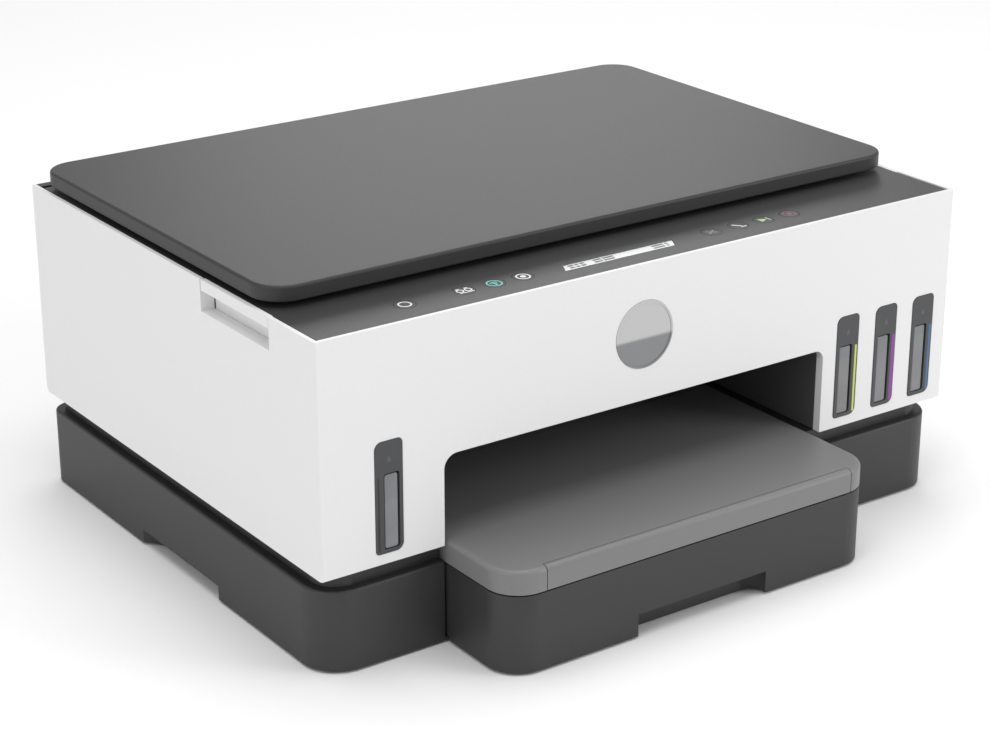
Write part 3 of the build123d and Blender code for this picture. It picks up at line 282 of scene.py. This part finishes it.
DARK = (0.030, 0.030, 0.0315)
WHITE = (0.80, 0.80, 0.80)
EMPTY = (0.18, 0.19, 0.20)
MATERIALS = {
    "dark_body": plastic("dark_body", DARK, 0.50, relief=0.22, speckle=0.08),
    "white_shell": plastic("white_shell", WHITE, 0.42, relief=0.10, speckle=0.015, cloud=0.008),
    "lid_plastic": plastic("lid_plastic", (0.047, 0.047, 0.048), 0.42, relief=0.14, speckle=0.04, cloud=0.02,
                           specular=0.22),
    "deck_plastic": plastic("deck_plastic", (0.042, 0.042, 0.0435), 0.42, relief=0.14, speckle=0.05,
                            specular=0.4),
    "output_grey": plastic("output_grey", (0.195, 0.195, 0.196), 0.45, relief=0.14, speckle=0.05),
    "bezel_plastic": plastic("bezel_plastic", (0.052, 0.053, 0.056), 0.40, relief=0.10),
    "key_plastic": plastic("key_plastic", (0.040, 0.040, 0.0415), 0.42, relief=0.12, specular=0.4),
    "inner_black": plastic("inner_black", (0.075, 0.075, 0.077), 0.55, relief=0.2),
    "inner_grey": plastic("inner_grey", (0.10, 0.10, 0.105), 0.50, relief=0.2),
    "psu_case": plastic("psu_case", (0.035, 0.035, 0.037), 0.55, relief=0.3),
    "carriage_plastic": plastic("carriage_plastic", (0.045, 0.045, 0.047), 0.45),
    "head_plastic": plastic("head_plastic", (0.05, 0.16, 0.34), 0.35),
    "gear_plastic": plastic("gear_plastic", (0.72, 0.70, 0.64), 0.38, relief=0.08, speckle=0.03),
    "guide_blue_grey": plastic("guide_blue_grey", (0.10, 0.13, 0.17), 0.42),
    "tube_plastic": plastic("tube_plastic", (0.30, 0.30, 0.31), 0.22, relief=0.05, coat=0.2),
    "socket_black": plastic("socket_black", (0.018, 0.018, 0.019), 0.30, relief=0.08),
    "foot_rubber": rubber("foot_rubber", (0.022, 0.022, 0.022)),
    "belt_rubber": rubber("belt_rubber", (0.018, 0.018, 0.018)),
    "roller_rubber": rubber("roller_rubber", (0.035, 0.035, 0.036)),
    "pickup_rubber": rubber("pickup_rubber", (0.17, 0.17, 0.175)),
    "rail_steel": metal("rail_steel", (0.20, 0.20, 0.21), 0.38),
    "motor_steel": metal("motor_steel", (0.42, 0.42, 0.43), 0.30),
    "screw_steel": metal("screw_steel", (0.30, 0.30, 0.31), 0.28, (20, 20, 20)),
    "usb_metal": metal("usb_metal", (0.62, 0.62, 0.63), 0.20),
    "pinion_brass": metal("pinion_brass", (0.66, 0.48, 0.18), 0.25),
    "scanner_glass": clear_glass(),
    "circuit_board": circuit_board(),
    "badge_metal": badge_metal(),
    "display_window": display_face(),
    "pad_foam": foam(),
    "tank_window_black": ink_window("tank_window_black", EMPTY, (0.19, 0.195, 0.205), 0.096),
    "tank_window_yellow": ink_window("tank_window_yellow", EMPTY, (0.20, 0.20, 0.20), 0.102),
    "tank_window_magenta": ink_window("tank_window_magenta", EMPTY, (0.20, 0.195, 0.205), 0.100),
    "tank_window_cyan": ink_window("tank_window_cyan", EMPTY, (0.195, 0.205, 0.21), 0.104),
    "cap_black": plastic("cap_black", (0.025, 0.025, 0.026), 0.38),
    "cap_yellow": plastic("cap_yellow", (0.72, 0.58, 0.03), 0.38),
    "cap_magenta": plastic("cap_magenta", (0.50, 0.03, 0.26), 0.38),
    "cap_cyan": plastic("cap_cyan", (0.02, 0.28, 0.55), 0.38),
}
SLOT_OF = {part["node"]: part["material_slot"] for part in frame["record"]["subparts"]}

SMOOTH_ANGLE = math.radians(32)
EDGE_ROUND = {"lid": 0.0005, "outer_shell": 0.0006, "base_housing": 0.0006, "paper_tray": 0.0006,
              "output_tray": 0.0004, "top_deck": 0.0004, "rear_cover": 0.0005, "rear_access_door": 0.0004}
DEFAULT_ROUND = 0.00025


def dress(name, node):
    """Give a CAD node its surface and softly broken edges."""
    node.data.materials.clear()
    node.data.materials.append(MATERIALS[SLOT_OF[name]])
    weld = node.modifiers.new("weld", "WELD")
    weld.merge_threshold = 0.000004
    bevel = node.modifiers.new("edges", "BEVEL")
    bevel.width = EDGE_ROUND.get(name, DEFAULT_ROUND)
    bevel.segments = 2
    bevel.limit_method = "ANGLE"
    bevel.angle_limit = SMOOTH_ANGLE
    bevel.harden_normals = False


for name, node in NODES.items():
    dress(name, node)


# ---------------------------------------------------------------- mesh pieces
def piece(name, mesh_maker, material, body, smooth=False):
    """A new piece from a bmesh maker, riding on a body."""
    mesh = bpy.data.meshes.new(name)
    work = bmesh.new()
    mesh_maker(work)
    bmesh.ops.recalc_face_normals(work, faces=work.faces)
    work.to_mesh(mesh)
    work.free()
    if smooth:
        mesh.shade_smooth()
    made = bpy.data.objects.new(name, mesh)
    bpy.context.scene.collection.objects.link(made)
    mesh.materials.append(MATERIALS[material])
    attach(made, body)
    return made


def prism(work, outline, low, high, axis="Z"):
    """A closed straight solid on an outline of (a, b) points; holes aren't allowed."""
    def spot(a, b, c):
        return (a, b, c) if axis == "Z" else (a, c, b)
    floor = [work.verts.new(spot(a, b, low)) for a, b in outline]
    roof = [work.verts.new(spot(a, b, high)) for a, b in outline]
    count = len(outline)
    work.faces.new(floor[::-1])
    work.faces.new(roof)
    for i in range(count):
        j = (i + 1) % count
        work.faces.new((floor[i], floor[j], roof[j], roof[i]))


def arc(cx, cy, radius, start, end, steps=24):
    """Points along an arc, angles in degrees."""
    points = []
    for i in range(steps + 1):
        angle = math.radians(start + (end - start) * i / steps)
        points.append((cx + radius * math.cos(angle), cy + radius * math.sin(angle)))
    return points


def ring(work, cx, cy, outer, inner, low, high, start=0.0, end=360.0, axis="Z"):
    """A flat ring or part of one."""
    if end - start >= 360.0:
        half = (start + end) / 2
        ring(work, cx, cy, outer, inner, low, high, start, half, axis)
        ring(work, cx, cy, outer, inner, low, high, half, end, axis)
        return
    outline = arc(cx, cy, outer, start, end) + arc(cx, cy, inner, end, start)
    prism(work, outline, low, high, axis)


def bar(work, x0, y0, x1, y1, width, low, high, axis="Z"):
    """A straight stroke between two points."""
    along = Vector((x1 - x0, y1 - y0)).normalized() * (width / 2)
    side = Vector((-along.y, along.x))
    corners = [(x0 - side.x, y0 - side.y), (x1 - side.x, y1 - side.y),
               (x1 + side.x, y1 + side.y), (x0 + side.x, y0 + side.y)]
    prism(work, corners, low, high, axis)


MATERIALS["mark_white"] = glowing("mark_white", (0.72, 0.72, 0.72), (1.0, 1.0, 1.0), 0.12)
MATERIALS["mark_dim"] = glowing("mark_dim", (0.22, 0.25, 0.27), (0.6, 0.8, 1.0), 0.02)
MATERIALS["mark_faint"] = glowing("mark_faint", (0.095, 0.098, 0.104), (0.0, 0.0, 0.0), 0.0)
MATERIALS["mark_teal"] = glowing("mark_teal", (0.16, 0.50, 0.46), (0.15, 0.8, 0.7), 0.18)
MATERIALS["mark_green"] = glowing("mark_green", (0.45, 0.55, 0.32), (0.5, 0.8, 0.3), 0.05)
MATERIALS["mark_red"] = glowing("mark_red", (0.20, 0.10, 0.11), (0.9, 0.2, 0.2), 0.02)
MATERIALS["strip_yellow"] = glowing("strip_yellow", (0.55, 0.60, 0.12), (0.8, 0.85, 0.2), 0.03)
MATERIALS["strip_magenta"] = glowing("strip_magenta", (0.22, 0.05, 0.27), (0.4, 0.1, 0.5), 0.03)
MATERIALS["strip_cyan"] = glowing("strip_cyan", (0.05, 0.14, 0.28), (0.1, 0.3, 0.6), 0.02)
MATERIALS["strip_black"] = glowing("strip_black", (0.02, 0.02, 0.021), (0.0, 0.0, 0.0), 0.0)


def mark(name, maker, material, body):
    """A thin printed or moulded mark in one of the extra surfaces."""
    mesh = bpy.data.meshes.new(name)
    work = bmesh.new()
    maker(work)
    bmesh.ops.recalc_face_normals(work, faces=work.faces)
    work.to_mesh(mesh)
    work.free()
    made = bpy.data.objects.new(name, mesh)
    bpy.context.scene.collection.objects.link(made)
    mesh.materials.append(MATERIALS[material])
    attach(made, body)
    return made


INK = 0.00006        # how far a printed mark stands out
SINK = 0.0001        # how far it reaches into the surface


def key_centre(key):
    """Middle of a key's top face."""
    low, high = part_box(f"button_{key}")
    return (low.x + high.x) / 2, (low.y + high.y) / 2, high.z


def power_mark(work, x, y, low, high):
    ring(work, x, y, 3.9 * MM, 3.0 * MM, low, high)


def copy_mark(work, x, y, low, high):
    for shift in (-2.6, 2.6):
        ring(work, x + shift * MM, y, 2.3 * MM, 1.5 * MM, low, high)
        bar(work, x + (shift - 1.2) * MM, y + 3.0 * MM, x + (shift + 1.2) * MM, y + 3.0 * MM, 0.7 * MM,
            low, high)
    bar(work, x - 4.6 * MM, y - 3.2 * MM, x + 4.6 * MM, y - 3.2 * MM, 0.8 * MM, low, high)


def link_mark(work, x, y, low, high):
    ring(work, x, y, 4.6 * MM, 3.8 * MM, low, high)
    ring(work, x, y - 2.0 * MM, 3.9 * MM, 3.1 * MM, low, high, 50, 130)
    ring(work, x, y - 2.0 * MM, 2.4 * MM, 1.6 * MM, low, high, 50, 130)
    ring(work, x, y - 1.9 * MM, 0.8 * MM, 0.05 * MM, low, high)


def notice_mark(work, x, y, low, high):
    ring(work, x, y, 4.3 * MM, 3.4 * MM, low, high)
    ring(work, x, y, 1.7 * MM, 0.05 * MM, low, high)


def cross_mark(work, x, y, low, high):
    bar(work, x - 2.8 * MM, y - 2.0 * MM, x + 2.8 * MM, y + 2.0 * MM, 1.2 * MM, low, high)
    bar(work, x - 2.8 * MM, y + 2.0 * MM, x + 2.8 * MM, y - 2.0 * MM, 1.2 * MM, low, high)


def back_mark(work, x, y, low, high):
    bar(work, x - 2.6 * MM, y + 2.9 * MM, x + 1.4 * MM, y - 1.4 * MM, 1.1 * MM, low, high)
    bar(work, x + 0.2 * MM, y - 2.6 * MM, x + 4.0 * MM, y - 2.6 * MM, 0.9 * MM, low, high)


def start_mark(work, x, y, low, high):
    prism(work, [(x - 2.6 * MM, y + 2.8 * MM), (x - 2.6 * MM, y - 2.8 * MM), (x + 2.8 * MM, y)], low, high)
    bar(work, x + 3.8 * MM, y - 2.8 * MM, x + 3.8 * MM, y + 2.8 * MM, 0.9 * MM, low, high)


def stop_mark(work, x, y, low, high):
    ring(work, x, y, 4.2 * MM, 3.4 * MM, low, high)
    prism(work, [(x - 1.6 * MM, y - 1.6 * MM), (x + 1.6 * MM, y - 1.6 * MM),
                 (x + 1.6 * MM, y + 1.6 * MM), (x - 1.6 * MM, y + 1.6 * MM)], low, high)


KEY_MARKS = {
    "power": (power_mark, "mark_white"),
    "scan": (copy_mark, "mark_white"),
    "wifi": (link_mark, "mark_teal"),
    "info": (notice_mark, "mark_white"),
    "cancel": (cross_mark, "mark_dim"),
    "colour": (back_mark, "mark_white"),
    "mono": (start_mark, "mark_green"),
    "resume": (stop_mark, "mark_red"),
}
for key, (maker, material) in KEY_MARKS.items():
    x, y, top = key_centre(key)
    mark(f"mark_{key}", lambda work: maker(work, x, y, top - SINK, top + INK), material, f"key_{key}")

# ---- display: a row of plain blocks, none of them letters
FACE_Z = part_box("display")[1].z
FACE_Y = -0.115
BLOCK_SPANS = ((-50, 3.4), (-45.5, 2.2), (-42.2, 3.2), (-33, 5.5), (-26.5, 7.5), (8.5, 8.0), (18.0, 1.6))
BLOCK_ROWS = (-1.5, 1.5)
BLOCK_LEAN = 0.25            # sideways step for each millimetre of height
BLOCK_HEIGHT = 1.7 * MM
BLOCK_STAND = 0.00003


def display_blocks(work):
    """Two rows of blocks; each span is a start and a width in millimetres."""
    for start, width in BLOCK_SPANS:
        for row in BLOCK_ROWS:
            x0 = (start + (row - BLOCK_ROWS[0]) * BLOCK_LEAN) * MM
            y0 = FACE_Y + row * MM
            bar(work, x0, y0, x0 + width * MM, y0, BLOCK_HEIGHT, FACE_Z - SINK, FACE_Z + BLOCK_STAND)


mark("display_blocks", display_blocks, "mark_faint", "scanner")

# ---- tank bezels: a coloured strip and a drop-shaped mark on each
BEZEL_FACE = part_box("tank_bezels")[0].y
BEZEL_CENTRE = {"black": -181.7, "yellow": 143.1, "magenta": 174.0, "cyan": 204.5}
STRIP_SIDE = {"black": -1, "yellow": 1, "magenta": 1, "cyan": 1}
STRIP_WIDTH = {"black": 1.1, "yellow": 1.5, "magenta": 2.6, "cyan": 1.7}
STRIP_OFFSET = 6.75
STRIP_LOW = 0.0672
STRIP_HIGH = 0.1098
DROP_Z = 0.1185
DROP_RADIUS = 1.15 * MM
DROP_POINT = 2.4             # height of the drop's point, in radii
BEZEL_STAND = 0.00004        # how far a bezel mark stands out
BEZEL_SINK = 0.0004          # how far it reaches in


def drop_outline(cx, cz, radius):
    """A drop: round below, pointed above."""
    return arc(cx, cz, radius, 150, 390, 20) + [(cx, cz + DROP_POINT * radius)]


def bezel_mark(work, outline):
    """A thin mark on the front of the bezels."""
    prism(work, outline, BEZEL_FACE - BEZEL_STAND, BEZEL_FACE + BEZEL_SINK, "Y")


for tank, centre in BEZEL_CENTRE.items():
    middle = (centre + STRIP_SIDE[tank] * STRIP_OFFSET) * MM
    left = middle - STRIP_WIDTH[tank] / 2 * MM
    right = middle + STRIP_WIDTH[tank] / 2 * MM
    strip = [(left, STRIP_LOW), (right, STRIP_LOW), (right, STRIP_HIGH), (left, STRIP_HIGH)]
    drop = drop_outline(centre * MM, DROP_Z, DROP_RADIUS)
    mark(f"strip_{tank}", lambda work: bezel_mark(work, strip), f"strip_{tank}", "housing")
    mark(f"drop_{tank}", lambda work: bezel_mark(work, drop), "mark_faint", "housing")


# ---------------------------------------------------------------- lid pad
PAD_ACROSS = 42
PAD_DEEP = 30
PAD_ROLL = 9                 # how sharply the edges roll
PAD_ROLL_DEEP = 0.72         # the front and rear edges against the side ones
PAD_CROWN = 0.0022
PAD_CLEARANCE = 0.0003
PAD_WAVE = 0.00012


def lid_pad(work):
    """Foam pad with softly crowned faces and rolled edges."""
    low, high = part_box("lid_pad")
    across, deep = PAD_ACROSS, PAD_DEEP
    grid = {}
    for level in (0, 1):
        for i in range(across + 1):
            for j in range(deep + 1):
                u = 2 * i / across - 1
                v = 2 * j / deep - 1
                edge = min(1 - abs(u), (1 - abs(v)) * PAD_ROLL_DEEP) * PAD_ROLL
                roll = math.sqrt(max(0.0, 1 - (1 - min(edge, 1.0)) ** 2))
                x = low.x + (u + 1) / 2 * (high.x - low.x)
                y = low.y + (v + 1) / 2 * (high.y - low.y)
                lift = PAD_CROWN * (1 - roll)
                wave = PAD_WAVE * math.sin(x * 95 + 0.7) * math.sin(y * 120)
                z = high.z if level else low.z + PAD_CLEARANCE + lift + wave
                grid[level, i, j] = work.verts.new((x, y, z))
    for i in range(across):
        for j in range(deep):
            work.faces.new((grid[1, i, j], grid[1, i + 1, j], grid[1, i + 1, j + 1], grid[1, i, j + 1]))
            work.faces.new((grid[0, i, j], grid[0, i, j + 1], grid[0, i + 1, j + 1], grid[0, i + 1, j]))
    for i in range(across):
        for j in (0, deep):
            work.faces.new((grid[0, i, j], grid[0, i + 1, j], grid[1, i + 1, j], grid[1, i, j]))
    for j in range(deep):
        for i in (0, across):
            work.faces.new((grid[0, i, j], grid[0, i, j + 1], grid[1, i, j + 1], grid[1, i, j]))


pad = piece("lid_pad_foam", lid_pad, "pad_foam", "lid", smooth=True)
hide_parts("lid_pad")

# ---------------------------------------------------------------- ink tubes
LANE_SPLIT_Y = 0.033         # the lanes behind this one run to the carriage
LANE_START_X = -0.066        # and to the right of this place


def tube_part(name, moving):
    """The fixed or the moving stretch of the ink tubes, taken from a copy of their CAD mesh."""
    mesh = NODES["ink_tubes"].data.copy()
    mesh.name = name
    work = bmesh.new()
    work.from_mesh(mesh)
    others = []
    for face in work.faces:
        spot = face.calc_center_median()
        runs_to_carriage = spot.y > LANE_SPLIT_Y and spot.x > LANE_START_X
        if runs_to_carriage != moving:
            others.append(face)
    bmesh.ops.delete(work, geom=others, context="FACES")
    work.to_mesh(mesh)
    work.free()
    mesh.shade_smooth()
    mesh.materials.clear()
    mesh.materials.append(MATERIALS["tube_plastic"])
    made = bpy.data.objects.new(name, mesh)
    bpy.context.scene.collection.objects.link(made)
    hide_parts("ink_tubes")
    return made


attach(tube_part("ink_tubes_fixed", False), "housing")
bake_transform(tube_part("ink_tubes_loop", True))

# ---------------------------------------------------------------- floor, light, camera
FLOOR_SIZE = 30.0
WORLD_STRENGTH = 0.48
bpy.ops.mesh.primitive_plane_add(size=FLOOR_SIZE, location=(0, 0, 0))
floor = bpy.context.object
floor.name = "floor"
floor.data.materials.append(plastic("floor_paper", (0.97, 0.97, 0.97), 0.9, grain=0.002, relief=0.02,
                                    speckle=0.004, cloud=0.002, specular=0.1))

world = bpy.data.worlds.new("studio")
bpy.context.scene.world = world
world.use_nodes = True
world.node_tree.nodes["Background"].inputs["Color"].default_value = (1.0, 1.0, 1.0, 1.0)
world.node_tree.nodes["Background"].inputs["Strength"].default_value = WORLD_STRENGTH


def softbox(name, place, target, width, height, power):
    """A large area light aimed at a point."""
    light = bpy.data.lights.new(name, "AREA")
    light.shape = "RECTANGLE"
    light.size = width
    light.size_y = height
    light.energy = power
    lamp = bpy.data.objects.new(name, light)
    lamp.location = place
    aim = Vector(target) - Vector(place)
    lamp.rotation_euler = aim.to_track_quat("-Z", "Y").to_euler()
    bpy.context.scene.collection.objects.link(lamp)
    return lamp


softbox("front_left", (-2.8, -0.9, 1.3), (0, 0, 0.1), 1.6, 1.6, 17)
softbox("front_right", (1.9, -2.0, 1.1), (0.2, 0, 0.1), 1.2, 1.2, 24)
softbox("overhead", (0.0, 0.0, 2.6), (0, 0, 0.1), 2.6, 2.6, 42)
softbox("behind", (1.75, 2.5, 1.35), (0.05, 0.1, 0.2), 1.3, 0.8, 9)

CAMERA_PLACE = (-0.80106, -1.10912, 0.62481)
CAMERA_HEADING = -35.224
CAMERA_PITCH = 21.618        # degrees below level
SENSOR_WIDTH = 36.0
LENS = 87.63636
camera_data = bpy.data.cameras.new("camera")
camera_data.sensor_width = SENSOR_WIDTH
camera_data.lens = LENS
camera_data.clip_start = 0.05
camera_data.clip_end = 60.0
camera = bpy.data.objects.new("camera", camera_data)
camera.location = CAMERA_PLACE
camera.rotation_euler = Euler((math.radians(90 - CAMERA_PITCH), 0.0, math.radians(CAMERA_HEADING)))
bpy.context.scene.collection.objects.link(camera)
bpy.context.scene.camera = camera
bpy.context.scene.view_settings.view_transform = "Standard"
